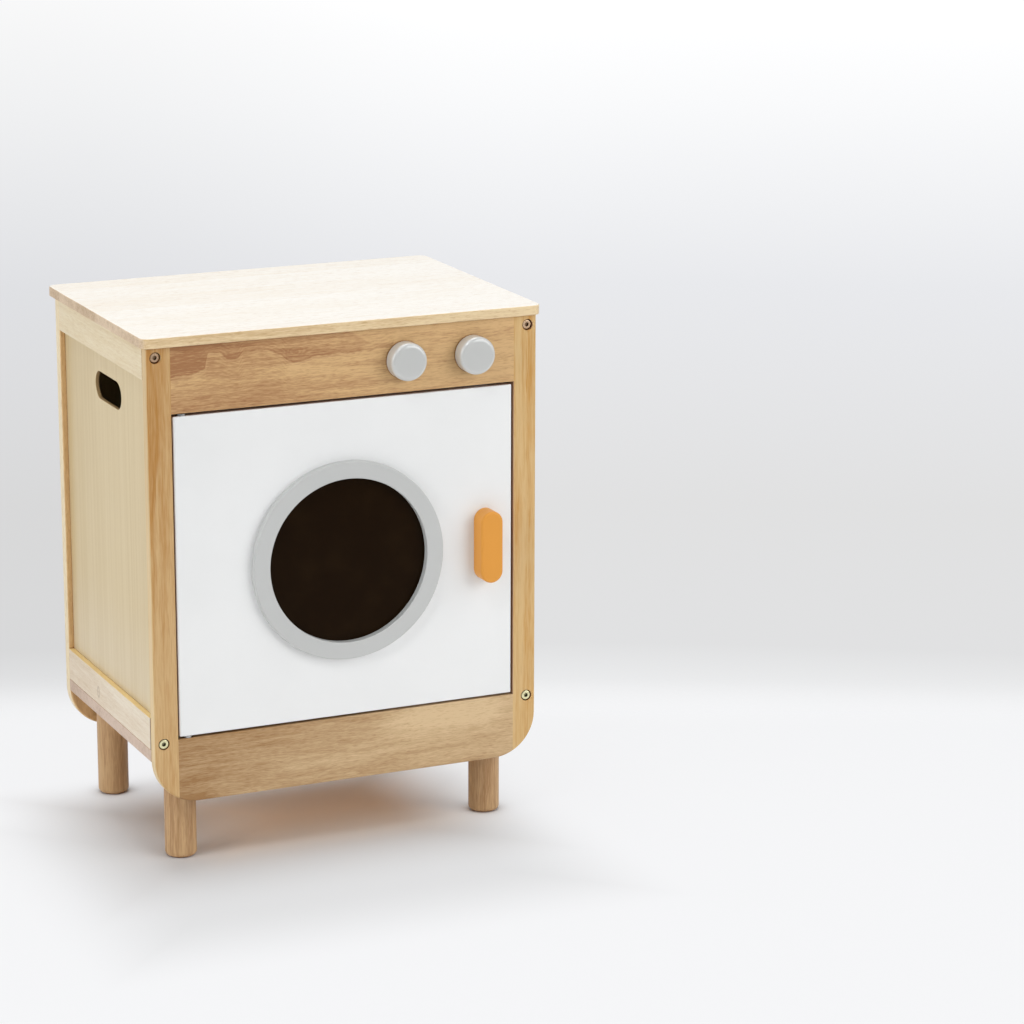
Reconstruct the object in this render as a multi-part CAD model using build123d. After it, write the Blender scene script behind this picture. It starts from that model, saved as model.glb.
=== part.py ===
"""Toy washing machine: a wooden play cabinet with a hinged door, a round window and two knobs.

Millimetres, +Z up. The front looks towards -Y and +X is on the viewer's right. The origin lies
on the floor under the middle of the whole outline.
"""

import os
from collections import namedtuple

from build123d import *

Screw = namedtuple("Screw", "shank_radius length head_radius head_height")

# Carcass, from the floor up.
LEG_LENGTH = 108.0
BASE_THICKNESS = 12.0
SIDE_HEIGHT = 394.5
APRON_DROP = 41.5  # how far both frames reach below the base board
CABINET_WIDTH = 400.0
CABINET_DEPTH = 276.0

# Front and rear frames: two stiles with a top and a bottom rail between them.
FRAME_THICKNESS = 12.0
STILE_WIDTH = 24.0
BOTTOM_RAIL_HEIGHT = 64.5
CONTROL_PANEL_HEIGHT = 64.5
REAR_TOP_RAIL_HEIGHT = 64.0
FRAME_CORNER_RADIUS = 44.0
FRAME_EDGE_ROUND = 2.0
OPENING_EDGE_BEVEL = 0.4
FRAME_DOWEL_RADIUS = 3.0
STILE_DOWEL_DEPTH = 10.0
RAIL_DOWEL_DEPTH = 15.0
DOWEL_WEB = 3.0  # wood left between a dowel hole and the hinge pin's hole

# Sides: two rails and a thin panel that is held in grooves all round.
SIDE_RAIL_THICKNESS = 19.0
SIDE_RAIL_HEIGHT = 32.0
SIDE_EDGE_ROUND = 0.6
PANEL_THICKNESS = 4.0
PANEL_RECESS = 6.0
GROOVE_DEPTH = 5.0
HAND_HOLD_LENGTH = 78.0
HAND_HOLD_HEIGHT = 27.0
HAND_HOLD_FROM_FRONT = 131.5
HAND_HOLD_BELOW_RAIL = 34.5  # rail's lower edge to the slot's middle
HAND_HOLD_EDGE_ROUND = 0.8

# Back panel, screwed into a rebate on the inside of the rear frame.
BACK_PANEL_THICKNESS = 4.0
REBATE_WIDTH = 8.0
BACK_SCREW = Screw(shank_radius=1.5, length=8.0, head_radius=3.0, head_height=1.5)
RAIL_BACK_SCREWS = 3
STILE_BACK_SCREWS = 4
BACK_SCREW_CORNER_GAP = 30.0  # from the opening's corner to the first screw along each edge

# Worktop and the dowels that hold it on the side rails.
WORKTOP_THICKNESS = 10.0
WORKTOP_SIDE_OVERHANG = 4.5
WORKTOP_FRONT_OVERHANG = 3.5
WORKTOP_REAR_OVERHANG = 10.0
WORKTOP_CORNER_RADIUS = 9.0
WORKTOP_EDGE_ROUND = 1.2
WORKTOP_DOWEL_RADIUS = 3.0
WORKTOP_DOWEL_RISE = 6.0
WORKTOP_DOWEL_DEPTH = 18.0

# Screws and dowels along each side rail.
SIDE_FIXINGS = 3
SIDE_FIXING_END_GAP = 62.0
BASE_SCREW = Screw(shank_radius=2.0, length=30.0, head_radius=4.0, head_height=2.4)

# Bolts that pull the frames onto the ends of the side rails, with a cross nut in each rail.
JOINT_BOLT_RADIUS = 3.0
JOINT_BOLT_LENGTH = 45.0
JOINT_BOLT_HEAD_RADIUS = 5.0
JOINT_BOLT_HEAD_HEIGHT = 3.5
JOINT_BOLT_SOCKET = 4.0  # across the flats of the key's hexagon
JOINT_BOLT_SOCKET_DEPTH = 2.4
JOINT_BOLT_POCKET_GAP = 0.6
UPPER_BOLT_RECESS = 2.0
LOWER_BOLT_RECESS = 0.6
UPPER_BOLT_FROM_TOP = 9.5
LOWER_BOLT_FROM_BASE = 8.0
BARREL_NUT_RADIUS = 5.0
BARREL_NUT_LENGTH = 14.0
BARREL_NUT_FROM_END = 28.0

# Legs: round dowels on hanger bolts, which turn into tee nuts in the base board.
LEG_RADIUS = 15.5
LEG_FOOT_ROUND = 5.0
SIDE_LEG_INSET = 38.0
FRONT_LEG_INSET = 40.0
REAR_LEG_INSET = 30.0
HANGER_BOLT_RADIUS = 4.0
HANGER_BOLT_IN_LEG = 35.0
TEE_NUT_FLANGE_RADIUS = 11.0
TEE_NUT_FLANGE_THICKNESS = 1.5
TEE_NUT_BARREL_RADIUS = 5.5
TEE_NUT_BARREL_LENGTH = 9.0

# Door: a painted panel that lies flush in the front frame.
DOOR_GAP_HINGE = 1.5
DOOR_GAP_LATCH = 2.5
DOOR_GAP_TOP = 2.8
DOOR_GAP_BOTTOM = 2.3
DOOR_STOP_GAP = 0.3
DOOR_EDGE_ROUND = 1.0
HINGE_EDGE_ROUND = 2.5  # lets the corner swing past the stile

# Hinge: a steel pin above and below the door, each with a washer in the gap.
HINGE_PIN_RADIUS = 3.0
HINGE_PIN_FROM_EDGE = 9.5
HINGE_PIN_IN_FRAME = 14.0
HINGE_PIN_IN_DOOR = 25.0
HINGE_WASHER_RADIUS = 5.0
HINGE_WASHER_THICKNESS = 2.0

# Window: a smoked pane in a rebate of the door, covered at its edge by a painted ring.
WINDOW_RADIUS = 81.5
RING_RADIUS = 98.5
RING_THICKNESS = 7.0
RING_OUTER_ROUND = 1.2
RING_INNER_ROUND = 0.8
PANE_RADIUS = 89.5
PANE_THICKNESS = 3.0
RING_SCREW = Screw(shank_radius=1.5, length=16.0, head_radius=3.0, head_height=1.8)
RING_SCREWS = 6

# Door handle: an upright block with round ends.
HANDLE_WIDTH = 23.0
HANDLE_HEIGHT = 72.0
HANDLE_DEPTH = 19.0
HANDLE_FROM_EDGE = 28.5
HANDLE_EDGE_ROUND = 2.2
HANDLE_SCREW = Screw(shank_radius=2.0, length=24.0, head_radius=4.0, head_height=2.4)
HANDLE_SCREW_SPACING = 40.0

# Magnetic catch: a stop block on the stile, a disc magnet in it and a steel disc in the door.
STOP_BLOCK_OVERLAP = 14.0  # how far the block reaches behind the door opening
STOP_BLOCK_ON_STILE = 12.0
STOP_BLOCK_DEPTH = 14.0
STOP_BLOCK_HEIGHT = 44.0
STOP_BLOCK_EDGE_ROUND = 1.5
STOP_SCREW = Screw(shank_radius=1.75, length=21.0, head_radius=3.5, head_height=2.1)
STOP_SCREW_SPACING = 26.0
MAGNET_RADIUS = 4.5
MAGNET_THICKNESS = 4.0
STRIKE_RADIUS = 5.0
STRIKE_THICKNESS = 1.2
STRIKE_PIN_RADIUS = 1.2
STRIKE_PIN_LENGTH = 6.0

# Knobs: turned discs on machine screws that pass through the control panel.
KNOB_RADIUS = 18.6
KNOB_THICKNESS = 15.0
KNOB_FRONT_ROUND = 4.2
KNOB_BACK_ROUND = 0.8
KNOB_BELOW_PANEL_MIDDLE = 0.4
KNOB_FROM_STILE = 44.5
KNOB_SPACING = 71.5
KNOB_SCREW_RADIUS = 3.0
KNOB_SCREW_IN_KNOB = 9.0
KNOB_SCREW_HEAD_RADIUS = 5.5
KNOB_SCREW_HEAD_HEIGHT = 3.6
FELT_WASHER_RADIUS = 9.0
FELT_WASHER_THICKNESS = 0.8
BACK_WASHER_RADIUS = 8.0
BACK_WASHER_THICKNESS = 1.2

# Screw heads: sizes of the driver's recess and the rounding, as shares of the head's own sizes.
RECESS_REACH = 0.5
RECESS_ARM_WIDTH = 0.33
RECESS_DEPTH = 0.5
HEAD_ROUND = 0.33

# Wood screw tips, as shares of the shank's radius.
SCREW_TIP_LENGTH = 2.0
SCREW_TIP_BLUNTNESS = 0.2

# Clearances.
GLUE_GAP = 0.05  # round dowels, screws and pins that stay put
PANEL_GAP = 0.1  # round thin panels in their grooves and rebates
RUNNING_GAP = 0.06  # round pins and screws that turn in a hole
FACE_GAP = 0.2  # between flat faces that slide past each other
BOLT_GAP = 0.25  # round bolts in their through holes
HOLE_END_GAP = 1.0  # past the end of a bolt or dowel in a blind hole

# Heights and planes that follow from the sizes above.
HALF_WIDTH = CABINET_WIDTH / 2
SIDE_BOTTOM_Z = LEG_LENGTH + BASE_THICKNESS
CARCASS_TOP_Z = SIDE_BOTTOM_Z + SIDE_HEIGHT
FRAME_BOTTOM_Z = LEG_LENGTH - APRON_DROP
OPENING_BOTTOM_Z = FRAME_BOTTOM_Z + BOTTOM_RAIL_HEIGHT
OPENING_TOP_Z = CARCASS_TOP_Z - CONTROL_PANEL_HEIGHT
REAR_OPENING_TOP_Z = CARCASS_TOP_Z - REAR_TOP_RAIL_HEIGHT
OPENING_HALF_WIDTH = HALF_WIDTH - STILE_WIDTH
LOWER_RAIL_TOP_Z = SIDE_BOTTOM_Z + SIDE_RAIL_HEIGHT
UPPER_RAIL_BOTTOM_Z = CARCASS_TOP_Z - SIDE_RAIL_HEIGHT
SIDE_RAIL_MIDDLE_X = HALF_WIDTH - SIDE_RAIL_THICKNESS / 2

KNOB_BACK_GAP = FELT_WASHER_THICKNESS + FACE_GAP
FRONT_REACH = max(HANDLE_DEPTH, KNOB_BACK_GAP + KNOB_THICKNESS, WORKTOP_FRONT_OVERHANG)
FRONT_Y = (FRONT_REACH - CABINET_DEPTH - WORKTOP_REAR_OVERHANG) / 2
REAR_Y = FRONT_Y + CABINET_DEPTH
INNER_FRONT_Y = FRONT_Y + FRAME_THICKNESS
INNER_REAR_Y = REAR_Y - FRAME_THICKNESS

DOOR_LEFT_X = -OPENING_HALF_WIDTH + DOOR_GAP_HINGE
DOOR_RIGHT_X = OPENING_HALF_WIDTH - DOOR_GAP_LATCH
DOOR_BOTTOM_Z = OPENING_BOTTOM_Z + DOOR_GAP_BOTTOM
DOOR_TOP_Z = OPENING_TOP_Z - DOOR_GAP_TOP
DOOR_BACK_Y = INNER_FRONT_Y - DOOR_STOP_GAP
DOOR_MIDDLE_X = (DOOR_LEFT_X + DOOR_RIGHT_X) / 2
DOOR_MIDDLE_Z = (DOOR_BOTTOM_Z + DOOR_TOP_Z) / 2
HINGE_X = DOOR_LEFT_X + HINGE_PIN_FROM_EDGE
HINGE_Y = (FRONT_Y + DOOR_BACK_Y) / 2
HANDLE_X = DOOR_RIGHT_X - HANDLE_FROM_EDGE
RIGHT_KNOB_X = OPENING_HALF_WIDTH - KNOB_FROM_STILE
KNOB_X = {"left": RIGHT_KNOB_X - KNOB_SPACING, "right": RIGHT_KNOB_X}
KNOB_Z = OPENING_TOP_Z + CONTROL_PANEL_HEIGHT / 2 - KNOB_BELOW_PANEL_MIDDLE
STRIKE_X = DOOR_RIGHT_X - STRIKE_RADIUS - DOOR_GAP_LATCH

LEFT, RIGHT = -1, 1
SIDES = {"left": LEFT, "right": RIGHT}
TOWARDS_BACK = (0, 1, 0)
TOWARDS_FRONT = (0, -1, 0)
UPWARDS = (0, 0, 1)
DOWNWARDS = (0, 0, -1)

nodes = {}


def block(x_limits, y_limits, z_limits):
    """Box between two limits on each axis."""
    limits = [sorted(pair) for pair in (x_limits, y_limits, z_limits)]
    sizes = [high - low for low, high in limits]
    middle = [(high + low) / 2 for low, high in limits]
    return Pos(*middle) * Box(*sizes)


def rod(start, direction, radius, length):
    """Cylinder from a point along a direction."""
    from_base = (Align.CENTER, Align.CENTER, Align.MIN)
    return Plane(origin=start, z_dir=direction) * Cylinder(radius, length, align=from_base)


def cone(start, direction, start_radius, end_radius, length):
    """Cone frustum from a point along a direction."""
    from_base = (Align.CENTER, Align.CENTER, Align.MIN)
    return Plane(origin=start, z_dir=direction) * Cone(start_radius, end_radius, length, align=from_base)


def washer(start, direction, radius, hole_radius, thickness):
    """Flat ring from a point along a direction."""
    return rod(start, direction, radius, thickness) - rod(start, direction, hole_radius, thickness)


def along(point, direction, distance):
    """Point at a distance from another, along a direction."""
    return tuple(p + distance * d for p, d in zip(point, direction))


def across_side(side, inner, outer):
    """X limits between two distances from the middle, on one side."""
    return sorted((side * inner, side * outer))


def spread(count, first, last):
    """Evenly spaced values, both ends included."""
    return [first + (last - first) * i / (count - 1) for i in range(count)]


def face_edges(shape, axis, index):
    """Edges of the outer border of the first (0) or last (-1) face along an axis."""
    return shape.faces().sort_by(axis)[index].outer_wire().edges()


def end_circle(shape, point):
    """The circular edge of a turned shape that lies nearest to a point."""
    return shape.edges().filter_by(GeomType.CIRCLE).sort_by_distance(point)[0]


def one_solid(shape):
    """The single solid of a shape."""
    (solid,) = shape.solids()
    return solid


def drive_recess(point, direction, head_radius, head_height):
    """Cross-shaped recess for a screwdriver, in a head whose top is at a point."""
    arm = Box(
        2 * RECESS_REACH * head_radius,
        RECESS_ARM_WIDTH * RECESS_REACH * head_radius,
        2 * RECESS_DEPTH * head_height,
    )
    return Plane(origin=point, z_dir=direction) * (arm + Rot(0, 0, 90) * arm)


def countersunk_screw(point, direction, spec):
    """Wood screw whose flat head is flush at a point and whose tip lies along a direction."""
    head = cone(point, direction, spec.head_radius, spec.shank_radius, spec.head_height)
    tip_length = SCREW_TIP_LENGTH * spec.shank_radius
    shank_length = spec.length - spec.head_height - tip_length
    shank_start = along(point, direction, spec.head_height)
    shank = rod(shank_start, direction, spec.shank_radius, shank_length)
    tip_start = along(shank_start, direction, shank_length)
    tip = cone(tip_start, direction, spec.shank_radius, SCREW_TIP_BLUNTNESS * spec.shank_radius, tip_length)
    return head + shank + tip - drive_recess(point, direction, spec.head_radius, spec.head_height)


def countersunk_hole(point, direction, spec):
    """Space that a countersunk screw needs, with the glue gap round it."""
    head = cone(
        point,
        direction,
        spec.head_radius + GLUE_GAP,
        spec.shank_radius + GLUE_GAP,
        spec.head_height + GLUE_GAP,
    )
    return head + rod(point, direction, spec.shank_radius + GLUE_GAP, spec.length + GLUE_GAP)


def pan_screw(point, direction, spec):
    """Screw whose round head stands on a surface at a point and whose tip lies along a direction."""
    backwards = tuple(-d for d in direction)
    head_top = along(point, backwards, spec.head_height)
    head = rod(head_top, direction, spec.head_radius, spec.head_height)
    head = fillet(end_circle(head, head_top), HEAD_ROUND * spec.head_height)
    shank = rod(point, direction, spec.shank_radius, spec.length)
    return head + shank - drive_recess(head_top, direction, spec.head_radius, spec.head_height)


def plain_hole(point, direction, spec):
    """Space round the shank of a pan-head screw."""
    return rod(point, direction, spec.shank_radius + GLUE_GAP, spec.length + GLUE_GAP)


# ---------------------------------------------------------------------------
# Bolted joints between the frames and the side rails
# ---------------------------------------------------------------------------

JointBolt = namedtuple("JointBolt", "face_point direction recess side")


def joint_bolts(level, end):
    """The left and right bolt at one level ("upper" or "lower") of one frame ("front" or "rear")."""
    if level == "upper":
        z, recess = CARCASS_TOP_Z - UPPER_BOLT_FROM_TOP, UPPER_BOLT_RECESS
    else:
        z, recess = SIDE_BOTTOM_Z + LOWER_BOLT_FROM_BASE, LOWER_BOLT_RECESS
    y, direction = (FRONT_Y, TOWARDS_BACK) if end == "front" else (REAR_Y, TOWARDS_FRONT)
    return [
        JointBolt((side * SIDE_RAIL_MIDDLE_X, y, z), direction, recess, side) for side in (LEFT, RIGHT)
    ]


def bolt_pocket(bolt):
    """Counterbore and through hole for one joint bolt, from the frame's outer face."""
    head_space = bolt.recess + JOINT_BOLT_HEAD_HEIGHT
    pocket_radius = JOINT_BOLT_HEAD_RADIUS + JOINT_BOLT_POCKET_GAP
    pocket = rod(bolt.face_point, bolt.direction, pocket_radius, head_space)
    hole_length = head_space + JOINT_BOLT_LENGTH + HOLE_END_GAP
    return pocket + rod(bolt.face_point, bolt.direction, JOINT_BOLT_RADIUS + BOLT_GAP, hole_length)


def joint_bolt_solid(bolt):
    """Bolt with a low round head and a hexagon socket."""
    head_top = along(bolt.face_point, bolt.direction, bolt.recess)
    head = rod(head_top, bolt.direction, JOINT_BOLT_HEAD_RADIUS, JOINT_BOLT_HEAD_HEIGHT)
    head = fillet(end_circle(head, head_top), HEAD_ROUND * JOINT_BOLT_HEAD_HEIGHT)
    socket_face = Plane(origin=head_top, z_dir=bolt.direction)
    hexagon = RegularPolygon(JOINT_BOLT_SOCKET / 2, 6, major_radius=False)
    socket = extrude(socket_face * hexagon, JOINT_BOLT_SOCKET_DEPTH)
    shank_length = JOINT_BOLT_HEAD_HEIGHT + JOINT_BOLT_LENGTH
    return head + rod(head_top, bolt.direction, JOINT_BOLT_RADIUS, shank_length) - socket


def barrel_nut_point(bolt):
    """Where the bolt's axis crosses its nut's axis."""
    return along(bolt.face_point, bolt.direction, FRAME_THICKNESS + BARREL_NUT_FROM_END)


def barrel_nut_solid(bolt):
    """Cross nut that lies along X in the side rail."""
    crossing = barrel_nut_point(bolt)
    start = along(crossing, (1, 0, 0), -BARREL_NUT_LENGTH / 2)
    nut = rod(start, (1, 0, 0), BARREL_NUT_RADIUS, BARREL_NUT_LENGTH)
    hole_start = along(crossing, bolt.direction, -BARREL_NUT_RADIUS)
    return nut - rod(hole_start, bolt.direction, JOINT_BOLT_RADIUS + GLUE_GAP, 2 * BARREL_NUT_RADIUS)


def barrel_nut_hole(bolt):
    """Blind hole for the nut, drilled from the rail's inner face."""
    crossing = barrel_nut_point(bolt)
    inner_face = along((0, crossing[1], crossing[2]), (bolt.side, 0, 0), HALF_WIDTH - SIDE_RAIL_THICKNESS)
    depth = SIDE_RAIL_THICKNESS / 2 + BARREL_NUT_LENGTH / 2 + GLUE_GAP
    return rod(inner_face, (bolt.side, 0, 0), BARREL_NUT_RADIUS + GLUE_GAP, depth)


ALL_BOLTS = {
    (level, end): joint_bolts(level, end) for level in ("upper", "lower") for end in ("front", "rear")
}


# ---------------------------------------------------------------------------
# Side panel grooves, shared by the stiles and the side rails
# ---------------------------------------------------------------------------


def panel_slab(side, gap):
    """The side panel's space: its thickness and grooves, grown by a gap on every side."""
    outer_x = HALF_WIDTH - PANEL_RECESS + gap
    inner_x = HALF_WIDTH - PANEL_RECESS - PANEL_THICKNESS - gap
    return block(
        across_side(side, inner_x, outer_x),
        (INNER_FRONT_Y - GROOVE_DEPTH - gap, INNER_REAR_Y + GROOVE_DEPTH + gap),
        (LOWER_RAIL_TOP_Z - GROOVE_DEPTH - gap, UPPER_RAIL_BOTTOM_Z + GROOVE_DEPTH + gap),
    )


# ---------------------------------------------------------------------------
# Frames
# ---------------------------------------------------------------------------


def frame_blank(near_y, opening_top_z):
    """One frame in a piece: rounded lower corners, a rectangular opening and softened edges."""
    y_limits = (near_y, near_y + FRAME_THICKNESS)
    z_limits = (FRAME_BOTTOM_Z, CARCASS_TOP_Z)
    blank = block((-HALF_WIDTH, HALF_WIDTH), y_limits, z_limits)
    lower_corners = blank.edges().filter_by(Axis.Y).group_by(Axis.Z)[0]
    blank = fillet(lower_corners, FRAME_CORNER_RADIUS)
    for index in (0, -1):
        border = face_edges(blank, Axis.Y, index).sort_by(Axis.Z)[:-1]
        blank = fillet(border, FRAME_EDGE_ROUND)
    opening = block(
        (-OPENING_HALF_WIDTH, OPENING_HALF_WIDTH),
        y_limits,
        (OPENING_BOTTOM_Z, opening_top_z),
    )
    blank = blank - opening
    for index in (0, -1):
        (rim,) = blank.faces().sort_by(Axis.Y)[index].inner_wires()
        blank = chamfer(rim.edges(), OPENING_EDGE_BEVEL)
    return blank


def frame_dowel_points(near_y, opening_top_z):
    """Where each dowel crosses the seam between a stile and a rail, with its side."""
    inset = HINGE_PIN_IN_FRAME + DOWEL_WEB + FRAME_DOWEL_RADIUS
    heights = (
        FRAME_BOTTOM_Z + inset,
        OPENING_BOTTOM_Z - inset,
        opening_top_z + inset,
        CARCASS_TOP_Z - inset,
    )
    y = near_y + FRAME_THICKNESS / 2
    return [((side * OPENING_HALF_WIDTH, y, z), side) for side in (LEFT, RIGHT) for z in heights]


def frame_dowel(point, side, gap, end_gap):
    """Dowel across a seam, or its hole when the gaps are not zero."""
    start = along(point, (side, 0, 0), -RAIL_DOWEL_DEPTH - end_gap)
    length = RAIL_DOWEL_DEPTH + STILE_DOWEL_DEPTH + 2 * end_gap
    return rod(start, (side, 0, 0), FRAME_DOWEL_RADIUS + gap, length)


def make_frame(end, near_y, opening_top_z, top_rail_name):
    """The four members of one frame and their dowels."""
    blank = frame_blank(near_y, opening_top_z)
    dowels = frame_dowel_points(near_y, opening_top_z)
    for point, side in dowels:
        blank -= frame_dowel(point, side, GLUE_GAP, HOLE_END_GAP / 2)
    for level in ("upper", "lower"):
        for bolt in ALL_BOLTS[level, end]:
            blank -= bolt_pocket(bolt)
    y_limits = (near_y, near_y + FRAME_THICKNESS)
    for name, side in SIDES.items():
        whole_height = (FRAME_BOTTOM_Z, CARCASS_TOP_Z)
        stile = blank & block(across_side(side, OPENING_HALF_WIDTH, HALF_WIDTH), y_limits, whole_height)
        nodes[f"{end}_{name}_stile"] = stile - panel_slab(side, PANEL_GAP)
    between = (-OPENING_HALF_WIDTH, OPENING_HALF_WIDTH)
    nodes[f"{end}_bottom_rail"] = blank & block(between, y_limits, (FRAME_BOTTOM_Z, OPENING_BOTTOM_Z))
    nodes[top_rail_name] = blank & block(between, y_limits, (opening_top_z, CARCASS_TOP_Z))
    nodes[f"{end}_frame_dowels"] = [frame_dowel(point, side, 0, 0) for point, side in dowels]


def make_back_panel():
    """Thin back panel in a rebate on the rear frame's inner face, with its screws."""
    bottom_z, top_z = OPENING_BOTTOM_Z, REAR_OPENING_TOP_Z
    panel_half_width = OPENING_HALF_WIDTH + REBATE_WIDTH

    def slab(gap):
        return block(
            (-panel_half_width - gap, panel_half_width + gap),
            (INNER_REAR_Y, INNER_REAR_Y + BACK_PANEL_THICKNESS),
            (bottom_z - REBATE_WIDTH - gap, top_z + REBATE_WIDTH + gap),
        )

    last_x = OPENING_HALF_WIDTH - BACK_SCREW_CORNER_GAP
    across = spread(RAIL_BACK_SCREWS, -last_x, last_x)
    down = spread(STILE_BACK_SCREWS, bottom_z + BACK_SCREW_CORNER_GAP, top_z - BACK_SCREW_CORNER_GAP)
    half_rebate = REBATE_WIDTH / 2
    spots = [(x, z) for x in across for z in (bottom_z - half_rebate, top_z + half_rebate)]
    spots += [(side * (OPENING_HALF_WIDTH + half_rebate), z) for side in (LEFT, RIGHT) for z in down]
    points = [(x, INNER_REAR_Y, z) for x, z in spots]
    panel = slab(0)
    members = ["rear_left_stile", "rear_right_stile", "rear_bottom_rail", "rear_top_rail"]
    for name in members:
        nodes[name] = nodes[name] - slab(PANEL_GAP)
    for point in points:
        hole = plain_hole(point, TOWARDS_BACK, BACK_SCREW)
        panel -= hole
        for name in members:
            nodes[name] = nodes[name] - hole
    nodes["back_panel"] = panel
    nodes["back_panel_screws"] = [pan_screw(point, TOWARDS_BACK, BACK_SCREW) for point in points]


# ---------------------------------------------------------------------------
# Sides, base and worktop
# ---------------------------------------------------------------------------


def side_fixing_ys():
    """Places along a side rail for the worktop's dowels and the base board's screws."""
    return spread(SIDE_FIXINGS, INNER_FRONT_Y + SIDE_FIXING_END_GAP, INNER_REAR_Y - SIDE_FIXING_END_GAP)


def worktop_dowel(side, y, gap, end_gap):
    """Upright dowel between a side rail and the worktop, or its hole."""
    start = (side * SIDE_RAIL_MIDDLE_X, y, CARCASS_TOP_Z - WORKTOP_DOWEL_DEPTH - end_gap)
    length = WORKTOP_DOWEL_DEPTH + WORKTOP_DOWEL_RISE + 2 * end_gap
    return rod(start, UPWARDS, WORKTOP_DOWEL_RADIUS + gap, length)


def base_screw_point(side, y):
    """Head of one base board screw, on the board's underside."""
    return (side * SIDE_RAIL_MIDDLE_X, y, LEG_LENGTH)


def side_rail(side, z_limits):
    """Plain side rail between the frames, with a softened outer face."""
    x_limits = across_side(side, HALF_WIDTH - SIDE_RAIL_THICKNESS, HALF_WIDTH)
    rail = block(x_limits, (INNER_FRONT_Y, INNER_REAR_Y), z_limits)
    return fillet(face_edges(rail, Axis.X, -1 if side == RIGHT else 0), SIDE_EDGE_ROUND)


def hand_hold(side):
    """Slot with round ends through the side panel."""
    start = (
        side * (HALF_WIDTH - PANEL_RECESS - PANEL_THICKNESS),
        FRONT_Y + HAND_HOLD_FROM_FRONT,
        UPPER_RAIL_BOTTOM_Z - HAND_HOLD_BELOW_RAIL,
    )
    face = Plane(origin=start, x_dir=TOWARDS_BACK, z_dir=(side, 0, 0))
    return extrude(face * SlotOverall(HAND_HOLD_LENGTH, HAND_HOLD_HEIGHT), PANEL_THICKNESS)


def make_side(name, side):
    """Two rails and the grooved-in panel of one side."""
    upper = side_rail(side, (UPPER_RAIL_BOTTOM_Z, CARCASS_TOP_Z)) - panel_slab(side, PANEL_GAP)
    lower = side_rail(side, (SIDE_BOTTOM_Z, LOWER_RAIL_TOP_Z)) - panel_slab(side, PANEL_GAP)
    for (level, _), bolts in ALL_BOLTS.items():
        for bolt in bolts:
            if bolt.side != side:
                continue
            drilled = bolt_pocket(bolt) + barrel_nut_hole(bolt)
            if level == "upper":
                upper -= drilled
            else:
                lower -= drilled
    for y in side_fixing_ys():
        upper -= worktop_dowel(side, y, GLUE_GAP, HOLE_END_GAP / 2)
        lower -= countersunk_hole(base_screw_point(side, y), UPWARDS, BASE_SCREW)
    panel = panel_slab(side, 0) - hand_hold(side)
    for index in (0, -1):
        (rim,) = panel.faces().sort_by(Axis.X)[index].inner_wires()
        panel = fillet(rim.edges(), HAND_HOLD_EDGE_ROUND)
    nodes[f"{name}_side_top_rail"] = upper
    nodes[f"{name}_side_bottom_rail"] = lower
    nodes[f"{name}_side_panel"] = panel


def make_base_board():
    """Board under the side rails that carries the legs, with its screws."""
    board = block(
        (-HALF_WIDTH, HALF_WIDTH),
        (INNER_FRONT_Y, INNER_REAR_Y),
        (LEG_LENGTH, SIDE_BOTTOM_Z),
    )
    for index in (0, -1):
        board = fillet(face_edges(board, Axis.X, index), SIDE_EDGE_ROUND)
    screws = []
    for side in (LEFT, RIGHT):
        for y in side_fixing_ys():
            point = base_screw_point(side, y)
            board -= countersunk_hole(point, UPWARDS, BASE_SCREW)
            screws.append(countersunk_screw(point, UPWARDS, BASE_SCREW))
    for x, y in leg_points().values():
        seat = (x, y, SIDE_BOTTOM_Z)
        board -= rod(seat, DOWNWARDS, TEE_NUT_BARREL_RADIUS + GLUE_GAP, TEE_NUT_BARREL_LENGTH + GLUE_GAP)
        board -= rod(seat, DOWNWARDS, HANGER_BOLT_RADIUS + BOLT_GAP, BASE_THICKNESS)
    nodes["base_board"] = board
    nodes["base_board_screws"] = screws


def make_worktop():
    """Top board with round corners, and the dowels under it."""
    board = block(
        (-HALF_WIDTH - WORKTOP_SIDE_OVERHANG, HALF_WIDTH + WORKTOP_SIDE_OVERHANG),
        (FRONT_Y - WORKTOP_FRONT_OVERHANG, REAR_Y + WORKTOP_REAR_OVERHANG),
        (CARCASS_TOP_Z, CARCASS_TOP_Z + WORKTOP_THICKNESS),
    )
    board = fillet(board.edges().filter_by(Axis.Z), WORKTOP_CORNER_RADIUS)
    for index in (0, -1):
        board = fillet(face_edges(board, Axis.Z, index), WORKTOP_EDGE_ROUND)
    dowels = []
    for side in (LEFT, RIGHT):
        for y in side_fixing_ys():
            board -= worktop_dowel(side, y, GLUE_GAP, HOLE_END_GAP / 2)
            dowels.append(worktop_dowel(side, y, 0, 0))
    nodes["worktop"] = board
    nodes["worktop_dowels"] = dowels


def make_joint_hardware():
    """Bolts of both frames and the cross nuts that they turn into."""
    upper_front = ALL_BOLTS["upper", "front"]
    lower_front = ALL_BOLTS["lower", "front"]
    rear = ALL_BOLTS["upper", "rear"] + ALL_BOLTS["lower", "rear"]
    nodes["upper_front_joint_bolts"] = [joint_bolt_solid(bolt) for bolt in upper_front]
    nodes["lower_front_joint_bolts"] = [joint_bolt_solid(bolt) for bolt in lower_front]
    nodes["rear_joint_bolts"] = [joint_bolt_solid(bolt) for bolt in rear]
    nodes["barrel_nuts"] = [barrel_nut_solid(bolt) for bolt in upper_front + lower_front + rear]


# ---------------------------------------------------------------------------
# Legs
# ---------------------------------------------------------------------------


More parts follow.
